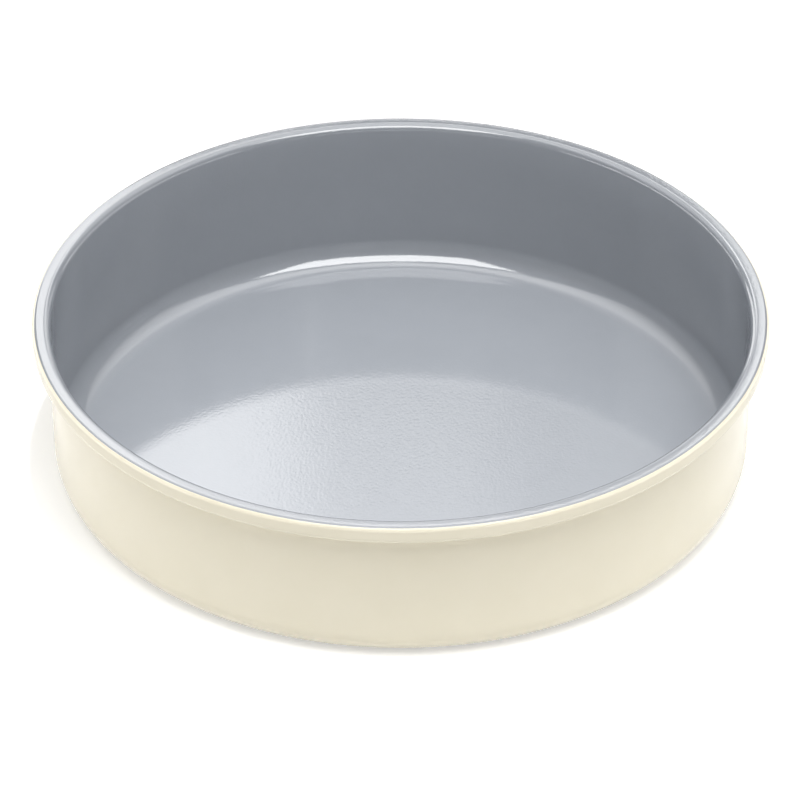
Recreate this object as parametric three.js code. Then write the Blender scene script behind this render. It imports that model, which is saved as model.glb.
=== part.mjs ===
import * as THREE from 'three';

// A straight-sided round cake pan, drawn in one piece from a disc of aluminised sheet steel. Its edge
// is rolled outward into a rim with a flat top and a straight skirt, and the cut edge is tucked in
// against the wall. A thin ceramic coat is fired on each side: grey on the food side and over the top
// of the rim, cream on the skirt, the wall and the underside.
//
// Millimetres, +Z up, with the origin at the centre of the underside.

// Pan
const MOUTH_DIAMETER = 228.6; // between the coated walls, in the plane of the rim's top
const OVERALL_HEIGHT = 55.5;
const WALL_DRAFT_DEG = 1.1;
const COVE_RADIUS = 9; // between the coated floor and wall

// Sheet, with the radius on the inside of each bend of the rim
const SHEET_THICKNESS = 1;
const MOUTH_BEND = 1.4; // wall to flat top
const SHOULDER_BEND = 0.5; // flat top to skirt
const CURL_BEND = 0.35; // skirt to tucked-in edge

// Rim
const FLAT_TOP_WIDTH = 2; // between the bends
const SKIRT_HEIGHT = 2.8; // between the bends
const SEAM_GAP = 0.35; // cut edge to wall

// Coats
const PRIMER_THICKNESS = 0.01; // left between the sheet and each coat
const INNER_COAT_THICKNESS = 0.05;
const OUTER_COAT_THICKNESS = 0.05;
const COAT_MEETING_DEG = 30; // where grey meets cream, round the shoulder from the flat top

// Facets
const FACETS_AROUND = 64;
const FACET_TURN_DEG = 22.5; // most that one facet of a bend turns

const draft = THREE.MathUtils.degToRad(WALL_DRAFT_DEG);
const innerSkin = INNER_COAT_THICKNESS + PRIMER_THICKNESS;
const outerSkin = OUTER_COAT_THICKNESS + PRIMER_THICKNESS;

// Headings of the section's straight runs, followed from the middle of the floor to the cut edge
const ALONG_FLOOR = 0;
const UP_WALL = Math.PI / 2 - draft;
const ACROSS_TOP = 0;
const AT_COAT_MEETING = -THREE.MathUtils.degToRad(COAT_MEETING_DEG);
const DOWN_SKIRT = -Math.PI / 2;
const BACK_TO_WALL = -Math.PI;

// The unit normal of a run, through the sheet from its food side to its back
const normalOf = (heading) => new THREE.Vector2(Math.sin(heading), -Math.cos(heading));

// The centre of the arc that rounds a corner from one heading to the next
function bendCentre(corner, radius, from, to) {
  const before = normalOf(from);
  const after = normalOf(to);
  const reach = (Math.sign(from - to) * radius) / (1 + before.dot(after));
  return before.add(after).multiplyScalar(reach).add(corner);
}

// Stations round a bend: points on the sheet's face, each with its normal
function bend(centre, radius, from, to) {
  const facets = Math.ceil(Math.abs(to - from) / THREE.MathUtils.degToRad(FACET_TURN_DEG));
  const stations = [];
  for (let i = 0; i <= facets; i += 1) {
    const normal = normalOf(from + ((to - from) * i) / facets);
    const point = normal.clone().multiplyScalar(Math.sign(to - from) * radius).add(centre);
    stations.push({ point, normal });
  }
  return stations;
}

// The food-side face of the bare sheet, as stations from the middle of the floor to the cut edge
const mouthRadius = MOUTH_BEND + SHEET_THICKNESS;
const shoulderRadius = SHOULDER_BEND + SHEET_THICKNESS;
const curlRadius = CURL_BEND + SHEET_THICKNESS;
const floorZ = outerSkin + SHEET_THICKNESS;
const topZ = OVERALL_HEIGHT - innerSkin;
const shoulderZ = topZ - shoulderRadius;
const curlZ = shoulderZ - SKIRT_HEIGHT;
const tuckedZ = curlZ - curlRadius;

// Radius of the wall at a height, a given depth in from its coated food side
function wallRadius(z, depth) {
  const coated = MOUTH_DIAMETER / 2 - (OVERALL_HEIGHT - z) * Math.tan(draft);
  return coated + depth / Math.cos(draft);
}

const coveCorner = new THREE.Vector2(wallRadius(floorZ, innerSkin), floorZ);
const mouthCorner = new THREE.Vector2(wallRadius(topZ, innerSkin), topZ);
const coveCentre = bendCentre(coveCorner, COVE_RADIUS + innerSkin, ALONG_FLOOR, UP_WALL);
const mouthCentre = bendCentre(mouthCorner, mouthRadius, UP_WALL, ACROSS_TOP);
const shoulderCentre = new THREE.Vector2(mouthCentre.x + FLAT_TOP_WIDTH, shoulderZ);
const curlCentre = new THREE.Vector2(shoulderCentre.x + shoulderRadius - curlRadius, curlZ);
const station = (r, z, heading) => ({ point: new THREE.Vector2(r, z), normal: normalOf(heading) });
const floorMiddle = station(0, floorZ, ALONG_FLOOR);
const wallAtSeam = station(wallRadius(tuckedZ, innerSkin), tuckedZ, UP_WALL);
const backOfWallAtSeam = wallRadius(tuckedZ, innerSkin + SHEET_THICKNESS);
const cutEdge = station(backOfWallAtSeam + SEAM_GAP, tuckedZ, BACK_TO_WALL);

const cove = bend(coveCentre, COVE_RADIUS + innerSkin, ALONG_FLOOR, UP_WALL);
const mouth = bend(mouthCentre, mouthRadius, UP_WALL, ACROSS_TOP);
const greyShoulder = bend(shoulderCentre, shoulderRadius, ACROSS_TOP, AT_COAT_MEETING);
const creamShoulder = bend(shoulderCentre, shoulderRadius, AT_COAT_MEETING, DOWN_SKIRT);
const curl = bend(curlCentre, curlRadius, DOWN_SKIRT, BACK_TO_WALL);

const foodSide = [floorMiddle, ...cove, ...mouth, ...greyShoulder];
const skirtSide = [...creamShoulder, ...curl, cutEdge];
const wallSide = [floorMiddle, ...cove, wallAtSeam];

// A layer of even thickness that follows a run of stations, revolved about the pan's axis
function layer(stations, near, far) {
  const face = (depth) => stations.map((s) => s.normal.clone().multiplyScalar(depth).add(s.point));
  const section = [...face(far), ...face(near).reverse()];
  if (section[0].x > 0) section.push(section[0].clone());
  return new THREE.LatheGeometry(section, FACETS_AROUND).rotateX(Math.PI / 2);
}

function piece(name, geometry, finish) {
  const mesh = new THREE.Mesh(geometry, new THREE.MeshStandardMaterial(finish));
  mesh.name = name;
  return mesh;
}

// The drawn and rolled sheet, from the middle of the floor round to the cut edge
const steelPan = piece(
  'steel_pan',
  layer([...foodSide, ...skirtSide.slice(1)], 0, SHEET_THICKNESS),
  { color: '#b4b6b6', roughness: 0.4, metalness: 1 },
);

// The grey coat over the floor, the wall and the flat top, ending on the shoulder
const innerCoating = piece(
  'inner_coating',
  layer(foodSide, -innerSkin, -PRIMER_THICKNESS),
  { color: '#9ba1a9', roughness: 0.25, metalness: 0 },
);

// The cream coat on the underside, the foot and the wall, up to the seam behind the tucked-in edge
const outerCoating = piece(
  'outer_coating',
  layer(wallSide, SHEET_THICKNESS + PRIMER_THICKNESS, SHEET_THICKNESS + outerSkin),
  { color: '#ece5d0', roughness: 0.3, metalness: 0 },
);

// The cream coat on the rolled rim, from the edge of the grey one round to the cut edge
const rimCoating = piece(
  'rim_coating',
  layer(skirtSide, -outerSkin, -PRIMER_THICKNESS),
  { color: '#ece5d0', roughness: 0.3, metalness: 0 },
);

const cakePan = new THREE.Group();
cakePan.add(steelPan, innerCoating, outerCoating, rimCoating);

export default cakePan;
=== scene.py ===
import math

import bpy
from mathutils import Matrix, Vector


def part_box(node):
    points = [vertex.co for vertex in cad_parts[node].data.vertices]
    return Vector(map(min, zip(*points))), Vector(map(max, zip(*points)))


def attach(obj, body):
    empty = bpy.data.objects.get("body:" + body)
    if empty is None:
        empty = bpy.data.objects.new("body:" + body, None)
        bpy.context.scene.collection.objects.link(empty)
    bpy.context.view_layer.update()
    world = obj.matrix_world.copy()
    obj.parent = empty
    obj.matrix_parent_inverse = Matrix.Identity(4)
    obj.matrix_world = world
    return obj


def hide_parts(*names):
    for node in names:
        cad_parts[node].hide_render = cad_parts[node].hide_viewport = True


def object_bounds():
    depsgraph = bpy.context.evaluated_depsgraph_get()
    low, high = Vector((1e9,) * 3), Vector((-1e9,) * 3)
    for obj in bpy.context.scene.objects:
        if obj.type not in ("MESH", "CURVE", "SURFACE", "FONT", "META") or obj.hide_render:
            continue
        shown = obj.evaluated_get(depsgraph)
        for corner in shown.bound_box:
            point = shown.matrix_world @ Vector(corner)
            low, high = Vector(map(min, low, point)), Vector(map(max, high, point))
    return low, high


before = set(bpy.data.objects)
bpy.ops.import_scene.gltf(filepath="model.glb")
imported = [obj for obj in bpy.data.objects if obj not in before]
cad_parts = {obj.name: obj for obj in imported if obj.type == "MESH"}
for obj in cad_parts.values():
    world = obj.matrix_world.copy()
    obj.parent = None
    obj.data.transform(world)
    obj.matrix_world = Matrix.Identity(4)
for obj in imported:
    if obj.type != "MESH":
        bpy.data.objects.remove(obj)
cad_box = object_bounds()

# Pressed pan
# One disc of aluminised steel, 1 mm thick, deep drawn to a straight-sided pan. Its flange is rolled outward
# into a flat-topped rim with a straight skirt, and the cut edge is tucked in against the wall.
MM = 0.001
SHEET = 1.0 * MM
WALL_DRAFT = math.radians(1.1)
COVE_RADIUS = 9.06 * MM
MOUTH_RADIUS = 2.4 * MM
SHOULDER_RADIUS = 1.5 * MM
CURL_RADIUS = 1.35 * MM
FLAT_TOP_WIDTH = 2.0 * MM
SKIRT_HEIGHT = 2.8 * MM
SEAM_GAP = 0.35 * MM
TURN_FACETS = 288
BEND_FACETS = 16
SHARP_EDGE = math.radians(40)
WELD_DISTANCE = 0.001 * MM
STEEL_DARK = "#a9abac"
STEEL_LIGHT = "#bcbebe"
STEEL_ROUGHNESS = 0.38
ROLLING_LINE_WIDTH = 0.3 * MM
ROLLING_LINE_LENGTH = 20 * MM

# The section follows the sheet's food side, from the middle of the floor to the cut edge. Its radii are
# those of the bends on that side.
sheet_low, sheet_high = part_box("steel_pan")
floor_z = sheet_low.z + SHEET
top_z = sheet_high.z
skirt_r = sheet_high.x
tucked_z = top_z - SHOULDER_RADIUS - SKIRT_HEIGHT - CURL_RADIUS
mouth_bend_r = skirt_r - SHOULDER_RADIUS - FLAT_TOP_WIDTH
mouth_r = mouth_bend_r - MOUTH_RADIUS * (1 - math.sin(WALL_DRAFT)) / math.cos(WALL_DRAFT)


def wall_r(z, depth=0.0):
    """Radius of the wall at a height, that far behind the sheet's food side."""
    return mouth_r - (top_z - z) * math.tan(WALL_DRAFT) + depth / math.cos(WALL_DRAFT)


def add_node(tree, kind, sockets=None, **settings):
    """Adds a node with its settings, and gives its sockets values or links from other nodes."""
    node = tree.nodes.new(kind)
    for name, value in settings.items():
        setattr(node, name, value)
    for key, value in (sockets or {}).items():
        if isinstance(value, bpy.types.NodeSocket):
            tree.links.new(value, node.inputs[key])
        else:
            node.inputs[key].default_value = value
    return node


def linear(hex_colour):
    """An sRGB hex colour as linear red, green, blue and alpha."""
    parts = [int(hex_colour[i : i + 2], 16) / 255 for i in (1, 3, 5)]
    return [p / 12.92 if p <= 0.04045 else ((p + 0.055) / 1.055) ** 2.4 for p in parts] + [1.0]


# The tree rounds the corners of a section, spins it round the mouth's circle and gives it a thickness.
spun_layer = bpy.data.node_groups.new("spun_layer", "GeometryNodeTree")
for name, kind in {
    "Section": "NodeSocketGeometry",
    "Mouth radius": "NodeSocketFloat",
    "Turn facets": "NodeSocketInt",
    "Bend facets": "NodeSocketInt",
    "Near face": "NodeSocketFloat",
    "Thickness": "NodeSocketFloat",
    "Sharp edge": "NodeSocketFloat",
    "Finish": "NodeSocketMaterial",
}.items():
    spun_layer.interface.new_socket(name, in_out="INPUT", socket_type=kind)
spun_layer.interface.new_socket("Layer", in_out="OUTPUT", socket_type="NodeSocketGeometry")
given = add_node(spun_layer, "NodeGroupInput").outputs
section_line = add_node(spun_layer, "GeometryNodeMeshToCurve", {"Mesh": given["Section"]})
bend_radius = add_node(
    spun_layer, "GeometryNodeInputNamedAttribute", {"Name": "bend_radius"}, data_type="FLOAT"
)
rounded_line = add_node(
    spun_layer,
    "GeometryNodeFilletCurve",
    {
        "Curve": section_line.outputs["Curve"],
        "Radius": bend_radius.outputs["Attribute"],
        "Count": given["Bend facets"],
        "Limit Radius": True,
    },
    mode="POLY",
)
mouth_circle = add_node(
    spun_layer,
    "GeometryNodeCurvePrimitiveCircle",
    {"Resolution": given["Turn facets"], "Radius": given["Mouth radius"]},
    mode="RADIUS",
)
upright_circle = add_node(
    spun_layer, "GeometryNodeSetCurveNormal", {"Curve": mouth_circle.outputs["Curve"]}, mode="Z_UP"
)
spun_line = add_node(
    spun_layer,
    "GeometryNodeCurveToMesh",
    {"Curve": upright_circle.outputs["Curve"], "Profile Curve": rounded_line.outputs["Curve"]},
)
to_the_back = add_node(spun_layer, "GeometryNodeFlipFaces", {"Mesh": spun_line.outputs["Mesh"]})
closed_middle = add_node(
    spun_layer,
    "GeometryNodeMergeByDistance",
    {"Geometry": to_the_back.outputs["Mesh"], "Distance": WELD_DISTANCE},
)
normal = add_node(spun_layer, "GeometryNodeInputNormal").outputs["Normal"]
near_offset = add_node(
    spun_layer, "ShaderNodeVectorMath", {0: normal, "Scale": given["Near face"]}, operation="SCALE"
)
near_face = add_node(
    spun_layer,
    "GeometryNodeSetPosition",
    {"Geometry": closed_middle.outputs["Geometry"], "Offset": near_offset.outputs["Vector"]},
)
far_face = add_node(
    spun_layer,
    "GeometryNodeExtrudeMesh",
    {"Mesh": near_face.outputs["Geometry"], "Offset Scale": given["Thickness"], "Individual": False},
    mode="FACES",
)
near_back = add_node(spun_layer, "GeometryNodeFlipFaces", {"Mesh": near_face.outputs["Geometry"]})
both_faces = add_node(spun_layer, "GeometryNodeJoinGeometry", {"Geometry": near_back.outputs["Mesh"]})
spun_layer.links.new(far_face.outputs["Mesh"], both_faces.inputs["Geometry"])
closed_layer = add_node(
    spun_layer,
    "GeometryNodeMergeByDistance",
    {"Geometry": both_faces.outputs["Geometry"], "Distance": WELD_DISTANCE},
)
smooth_faces = add_node(
    spun_layer,
    "GeometryNodeSetShadeSmooth",
    {"Geometry": closed_layer.outputs["Geometry"], "Shade Smooth": True},
    domain="FACE",
)
edge_angle = add_node(spun_layer, "GeometryNodeInputMeshEdgeAngle")
is_sharp = add_node(
    spun_layer,
    "FunctionNodeCompare",
    {"A": edge_angle.outputs["Unsigned Angle"], "B": given["Sharp edge"]},
    data_type="FLOAT",
    operation="GREATER_THAN",
)
sharp_edges = add_node(
    spun_layer,
    "GeometryNodeSetShadeSmooth",
    {
        "Geometry": smooth_faces.outputs["Geometry"],
        "Selection": is_sharp.outputs["Result"],
        "Shade Smooth": False,
    },
    domain="EDGE",
)
realized = add_node(
    spun_layer, "GeometryNodeRealizeInstances", {"Geometry": sharp_edges.outputs["Geometry"]}
)
finished = add_node(
    spun_layer,
    "GeometryNodeSetMaterial",
    {"Geometry": realized.outputs["Geometry"], "Material": given["Finish"]},
)
add_node(spun_layer, "NodeGroupOutput", {"Layer": finished.outputs["Geometry"]})


def spin_layer(name, corners, near, far, finish):
    """A closed layer between two depths behind the food side. A corner is its radius, height and bend."""
    section = bpy.data.meshes.new(name)
    steps = [(i, i + 1) for i in range(len(corners) - 1)]
    section.from_pydata([(r - mouth_r, -z, 0.0) for r, z, _ in corners], steps, [])
    bends = section.attributes.new("bend_radius", "FLOAT", "POINT")
    bends.data.foreach_set("value", [bend for _, _, bend in corners])
    piece = bpy.data.objects.new(name, section)
    bpy.context.scene.collection.objects.link(piece)
    spin = piece.modifiers.new("spin", "NODES")
    spin.node_group = spun_layer
    sizes = {
        "Mouth radius": mouth_r,
        "Turn facets": TURN_FACETS,
        "Bend facets": BEND_FACETS,
        "Near face": near,
        "Thickness": far - near,
        "Sharp edge": SHARP_EDGE,
        "Finish": finish,
    }
    for socket in spun_layer.interface.items_tree:
        if socket.name in sizes:
            spin[socket.identifier] = sizes[socket.name]
    graph = bpy.context.evaluated_depsgraph_get()
    layer = bpy.data.meshes.new_from_object(piece.evaluated_get(graph))
    piece.modifiers.remove(spin)
    piece.data = layer
    bpy.data.meshes.remove(section)
    layer.name = name
    return piece


# The colour sockets of a Mix node share their names with others, so they go by number.
MIX_A = 6
MIX_B = 7
MIX_RESULT = 2

# Aluminised steel, hot dipped and cold rolled: a pale satin metal with fine straight rolling lines. It
# shows only at the cut edge, deep in the seam under the rim.
aluminised_steel = bpy.data.materials.new("aluminised_steel")
aluminised_steel.use_nodes = True
tree = aluminised_steel.node_tree
shader = tree.nodes["Principled BSDF"]
shader.inputs["Metallic"].default_value = 1.0
shader.inputs["Roughness"].default_value = STEEL_ROUGHNESS
coords = add_node(tree, "ShaderNodeTexCoord").outputs["Object"]
line_scale = (1 / ROLLING_LINE_LENGTH, 1 / ROLLING_LINE_WIDTH, 1 / ROLLING_LINE_WIDTH)
along_roll = add_node(tree, "ShaderNodeMapping", {"Vector": coords, "Scale": line_scale})
rolling_lines = add_node(
    tree, "ShaderNodeTexNoise", {"Vector": along_roll.outputs["Vector"], "Scale": 1.0, "Detail": 3.0}
)
steel_colour = add_node(
    tree,
    "ShaderNodeMix",
    {"Factor": rolling_lines.outputs["Fac"], MIX_A: linear(STEEL_DARK), MIX_B: linear(STEEL_LIGHT)},
    data_type="RGBA",
)
tree.links.new(steel_colour.outputs[MIX_RESULT], shader.inputs["Base Color"])

floor_middle = (0.0, floor_z, 0.0)
cove_corner = (wall_r(floor_z), floor_z, COVE_RADIUS)
mouth_corner = (mouth_r, top_z, MOUTH_RADIUS)
shoulder_corner = (skirt_r, top_z, SHOULDER_RADIUS)
curl_corner = (skirt_r, tucked_z, CURL_RADIUS)
cut_edge = (wall_r(tucked_z, SHEET) + SEAM_GAP, tucked_z, 0.0)
pressed_pan = spin_layer(
    "pressed_pan",
    [floor_middle, cove_corner, mouth_corner, shoulder_corner, curl_corner, cut_edge],
    0.0,
    SHEET,
    aluminised_steel,
)
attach(pressed_pan, "root")
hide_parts("steel_pan")

# Grey lining
# The non-stick coat on the food side: a grey sol-gel ceramic, sprayed on and fired, 0.05 mm thick. It
# covers the floor, the wall and the flat top of the rim, and ends on the shoulder.
PRIMER = 0.01 * MM
LINING_THICKNESS = 0.05 * MM
COATS_MEET = math.radians(30)
GREY_DARK = "#92969c"
GREY_LIGHT = "#969aa0"
GREY_IOR = 2.1
GREY_ROUGHNESS = (0.07, 0.1)
GREY_CLOUDS = {"Detail": 3.0, "Roughness": 0.6}
CLOUD_WIDTH = 14 * MM
PEEL_WIDTH = 1.0 * MM
PEEL_HEIGHT = 0.022 * MM


def fired_ceramic(name, colours, ior, roughness, cloud_grain, peel_height):
    """A sprayed and fired coat, with faint clouds in its colour and gloss, and orange peel on its face."""
    dark, light = colours
    glossiest, dullest = roughness
    coat = bpy.data.materials.new(name)
    coat.use_nodes = True
    tree = coat.node_tree
    shader = tree.nodes["Principled BSDF"]
    shader.inputs["IOR"].default_value = ior
    coords = add_node(tree, "ShaderNodeTexCoord").outputs["Object"]
    clouds = add_node(
        tree, "ShaderNodeTexNoise", {"Vector": coords, "Scale": 1 / CLOUD_WIDTH, **cloud_grain}
    ).outputs["Fac"]
    colour = add_node(
        tree,
        "ShaderNodeMix",
        {"Factor": clouds, MIX_A: linear(dark), MIX_B: linear(light)},
        data_type="RGBA",
    )
    gloss = add_node(
        tree, "ShaderNodeMapRange", {"Value": clouds, "To Min": glossiest, "To Max": dullest}
    )
    peel = add_node(
        tree,
        "ShaderNodeTexNoise",
        {"Vector": coords, "Scale": 1 / PEEL_WIDTH, "Detail": 1.0, "Roughness": 0.4},
    )
    peel_bump = add_node(
        tree, "ShaderNodeBump", {"Height": peel.outputs["Fac"], "Strength": 1.0, "Distance": peel_height}
    )
    tree.links.new(colour.outputs[MIX_RESULT], shader.inputs["Base Color"])
    tree.links.new(gloss.outputs["Result"], shader.inputs["Roughness"])
    tree.links.new(peel_bump.outputs["Normal"], shader.inputs["Normal"])
    return coat


# Sol-gel ceramic on a sprayed film: a hard glossy grey whose mirror is blurred by fine orange peel, with
# faint clouds where the film is thicker.
grey_ceramic = fired_ceramic(
    "grey_sol_gel_ceramic", (GREY_DARK, GREY_LIGHT), GREY_IOR, GREY_ROUGHNESS, GREY_CLOUDS, PEEL_HEIGHT
)

shoulder_r = skirt_r - SHOULDER_RADIUS
shoulder_z = top_z - SHOULDER_RADIUS
meeting_corner = (shoulder_r + SHOULDER_RADIUS * math.tan(COATS_MEET / 2), top_z, SHOULDER_RADIUS)
meeting = (
    shoulder_r + SHOULDER_RADIUS * math.sin(COATS_MEET),
    shoulder_z + SHOULDER_RADIUS * math.cos(COATS_MEET),
    0.0,
)
grey_lining = spin_layer(
    "grey_lining",
    [floor_middle, cove_corner, mouth_corner, meeting_corner, meeting],
    -PRIMER - LINING_THICKNESS,
    -PRIMER,
    grey_ceramic,
)
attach(grey_lining, "root")
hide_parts("inner_coating")

# Cream outside
# The same kind of ceramic coat in cream, sprayed and fired on the underside, the foot and the wall, up to
# the seam behind the rolled rim.
OUTSIDE_THICKNESS = 0.05 * MM
CREAM_DARK = "#e6dfc9"
CREAM_LIGHT = "#eae3cf"
CREAM_IOR = 1.5
CREAM_ROUGHNESS = (0.16, 0.2)
CREAM_CLOUDS = {"Detail": 2.0, "Roughness": 0.5}
FINE_PEEL_HEIGHT = 0.004 * MM

# Cream ceramic enamel, fired on a smooth wall: an even satin gloss, with peel too shallow to break it.
cream_ceramic = fired_ceramic(
    "cream_ceramic_enamel",
    (CREAM_DARK, CREAM_LIGHT),
    CREAM_IOR,
    CREAM_ROUGHNESS,
    CREAM_CLOUDS,
    FINE_PEEL_HEIGHT,
)

wall_at_seam = (wall_r(tucked_z), tucked_z, 0.0)
cream_outside = spin_layer(
    "cream_outside",
    [floor_middle, cove_corner, wall_at_seam],
    SHEET + PRIMER,
    SHEET + PRIMER + OUTSIDE_THICKNESS,
    cream_ceramic,
)
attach(cream_outside, "root")
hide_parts("outer_coating")

# Cream rim
# The cream coat again, on the rolled rim: over the rest of the shoulder, down the skirt and round the curl
# to the cut edge. The open seam parts it from the coat on the wall.
rest_of_shoulder = math.pi / 2 - COATS_MEET
skirt_corner = (skirt_r, shoulder_z + SHOULDER_RADIUS * math.tan(rest_of_shoulder / 2), SHOULDER_RADIUS)
cream_rim = spin_layer(
    "cream_rim",
    [meeting, skirt_corner, curl_corner, cut_edge],
    -PRIMER - OUTSIDE_THICKNESS,
    -PRIMER,
    cream_ceramic,
)
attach(cream_rim, "root")
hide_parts("rim_coating")

# Studio
# A white paper floor in a dark room. A soft box and a fill hang overhead, a row of boxes and panels stands
# behind, and low white cards stand round the pan. The camera looks down on it through a long lens.
FLOOR_HALF = 40.0
FLOOR_WHITE = "#ebebeb"
FLOOR_GLOW = "#b0b0b0"
PAPER_ROUGHNESS = 0.9
ROOM_WHITE = "#ffffff"
ROOM_STRENGTH = 0.03
BEHIND = 1.3
DOWN = (0, 0, -1)
TO_FRONT = (0, -1, 0)
TO_BACK = (0, 1, 0)
TO_RIGHT = (1, 0, 0)
TO_LEFT = (-1, 0, 0)
CEILING_SPREAD = math.radians(132)
SPOT_POWER = 65.0
SPOT_HEIGHT = 1.6
SPOT_RADIUS = 117 * MM
SPOT_BLEND = 0.06
SPOT_LAMP_RADIUS = 50 * MM
# The camera takes its sensor and lens in millimetres.
SENSOR_WIDTH = 36.0
LENS = 243.0
CAMERA_PITCH = math.radians(34.887)
# Where the middle of the rim lies from the camera, along its own axes.
RIM_CENTRE_RIGHT = 0.21 * MM
RIM_CENTRE_DOWN = -28.86 * MM
RIM_CENTRE_AHEAD = 1762.9 * MM

corner_signs = ((-1, -1), (1, -1), (1, 1), (-1, 1))
floor_mesh = bpy.data.meshes.new("studio_floor")
floor_mesh.from_pydata([(x * FLOOR_HALF, y * FLOOR_HALF, 0.0) for x, y in corner_signs], [], [(0, 1, 2, 3)])
studio_floor = bpy.data.objects.new("studio_floor", floor_mesh)
bpy.context.scene.collection.objects.link(studio_floor)

# Matt white paper, with a glow of its own where it is seen or mirrored: white in the open, and grey only in
# the pan's shadow.
matt_white = bpy.data.materials.new("matt_white_paper")
matt_white.use_nodes = True
tree = matt_white.node_tree
shader = tree.nodes["Principled BSDF"]
shader.inputs["Base Color"].default_value = linear(FLOOR_WHITE)
shader.inputs["Roughness"].default_value = PAPER_ROUGHNESS
shader.inputs["Specular IOR Level"].default_value = 0.0
shader.inputs["Emission Color"].default_value = linear(FLOOR_GLOW)
ray = add_node(tree, "ShaderNodeLightPath").outputs
seen_or_mirrored = add_node(
    tree, "ShaderNodeMath", {0: ray["Is Camera Ray"], 1: ray["Is Glossy Ray"]}, operation="MAXIMUM"
)
seen_any_way = add_node(
    tree,
    "ShaderNodeMath",
    {0: seen_or_mirrored.outputs["Value"], 1: ray["Is Transmission Ray"]},
    operation="MAXIMUM",
)
tree.links.new(seen_any_way.outputs["Value"], shader.inputs["Emission Strength"])
floor_mesh.materials.append(matt_white)

world = bpy.data.worlds.new("dark_room")
world.use_nodes = True
background = world.node_tree.nodes["Background"]
background.inputs["Color"].default_value = linear(ROOM_WHITE)
background.inputs["Strength"].default_value = ROOM_STRENGTH
bpy.context.scene.world = world

# The key box shows in the cove, and the boxes behind show in the floor and along the rim. The fill isn't
# mirrored, so that the wall stays plain. The panels only show as reflections: the ceiling in the cove, and
# the others in the mouth's bend. Places and sizes are in metres and powers in watts.
for name, place, facing, width, depth, power, lighting, mirrored in (
    ("key_box", (0.08, -0.54, 1.1), DOWN, 1.1, 0.72, 11.4, True, True),
    ("fill_box", (0.25, -0.12, 1.6), DOWN, 0.7, 0.7, 9.2, True, False),
    ("back_left_box", (-0.28, BEHIND, 1.025), TO_FRONT, 0.28, 0.45, 1.25, True, True),
    ("back_near_left_box", (-0.095, BEHIND, 1.05), TO_FRONT, 0.09, 0.4, 0.27, True, True),
    ("back_middle_box", (0.0, BEHIND, 0.975), TO_FRONT, 0.1, 0.17, 0.075, True, True),
    ("back_dim_box", (0.12, BEHIND, 0.975), TO_FRONT, 0.14, 0.17, 0.056, True, True),
    ("back_top_box", (0.07, BEHIND, 1.16), TO_FRONT, 0.24, 0.2, 0.4, True, True),
    ("back_right_box", (0.31, BEHIND, 1.07), TO_FRONT, 0.24, 0.36, 0.81, True, True),
    ("left_card", (-0.7, 0.1, 0.06), TO_RIGHT, 1.2, 0.12, 2.65, True, True),
    ("right_card", (0.7, 0.1, 0.06), TO_LEFT, 1.2, 0.12, 1.95, True, True),
    ("front_card", (0.0, -0.8, 0.06), TO_BACK, 1.2, 0.12, 0.72, True, True),
    ("ceiling_panel", (0.0, 1.1, 1.9), DOWN, 10.0, 2.6, 72.0, False, True),
    ("low_left_panel", (-0.72, BEHIND, 0.3), TO_FRONT, 0.76, 0.5, 3.0, False, True),
    ("mid_left_panel", (-0.36, BEHIND, 0.675), TO_FRONT, 0.44, 0.25, 0.42, False, True),
    ("low_middle_panel", (0.01, BEHIND, 0.55), TO_FRONT, 0.3, 0.5, 0.85, False, True),
    ("mid_right_panel", (0.36, BEHIND, 0.71), TO_FRONT, 0.4, 0.36, 0.9, False, True),
    ("low_right_panel", (0.72, BEHIND, 0.3), TO_FRONT, 0.76, 0.5, 0.95, False, True),
):
    lamp = bpy.data.lights.new(name, "AREA")
    lamp.shape = "RECTANGLE"
    lamp.size = width
    lamp.size_y = depth
    lamp.energy = power
    box = bpy.data.objects.new(name, lamp)
    box.location = place
    box.rotation_euler = Vector(facing).to_track_quat("-Z", "Y").to_euler()
    box.visible_camera = False
    box.visible_diffuse = lighting
    box.visible_glossy = mirrored
    bpy.context.scene.collection.objects.link(box)
# The ceiling shines mostly straight down, so its reflection fades out along the cove.
bpy.data.lights["ceiling_panel"].spread = CEILING_SPREAD

# A narrow spot straight overhead, held inside the mouth, lifts the pan's floor alone.
spot_lamp = bpy.data.lights.new("floor_spot", "SPOT")
spot_lamp.energy = SPOT_POWER
spot_lamp.shadow_soft_size = SPOT_LAMP_RADIUS
spot_lamp.spot_size = 2 * math.atan(SPOT_RADIUS / SPOT_HEIGHT)
spot_lamp.spot_blend = SPOT_BLEND
floor_spot = bpy.data.objects.new("floor_spot", spot_lamp)
floor_spot.location = (0.0, 0.0, SPOT_HEIGHT)
floor_spot.visible_camera = False
floor_spot.visible_glossy = False
bpy.context.scene.collection.objects.link(floor_spot)

view = bpy.data.cameras.new("camera")
view.lens = LENS
view.sensor_width = SENSOR_WIDTH
camera = bpy.data.objects.new("camera", view)
camera.rotation_euler = (math.pi / 2 - CAMERA_PITCH, 0.0, 0.0)
downward = Vector((0.0, -math.sin(CAMERA_PITCH), -math.cos(CAMERA_PITCH)))
forward = Vector((0.0, math.cos(CAMERA_PITCH), -math.sin(CAMERA_PITCH)))
rightward = Vector((1.0, 0.0, 0.0))
rim_centre = Vector((0.0, 0.0, cad_box[1][2]))
camera.location = (
    rim_centre - rightward * RIM_CENTRE_RIGHT - downward * RIM_CENTRE_DOWN - forward * RIM_CENTRE_AHEAD
)
bpy.context.scene.collection.objects.link(camera)
bpy.context.scene.camera = camera
bpy.context.scene.view_settings.view_transform = "Standard"
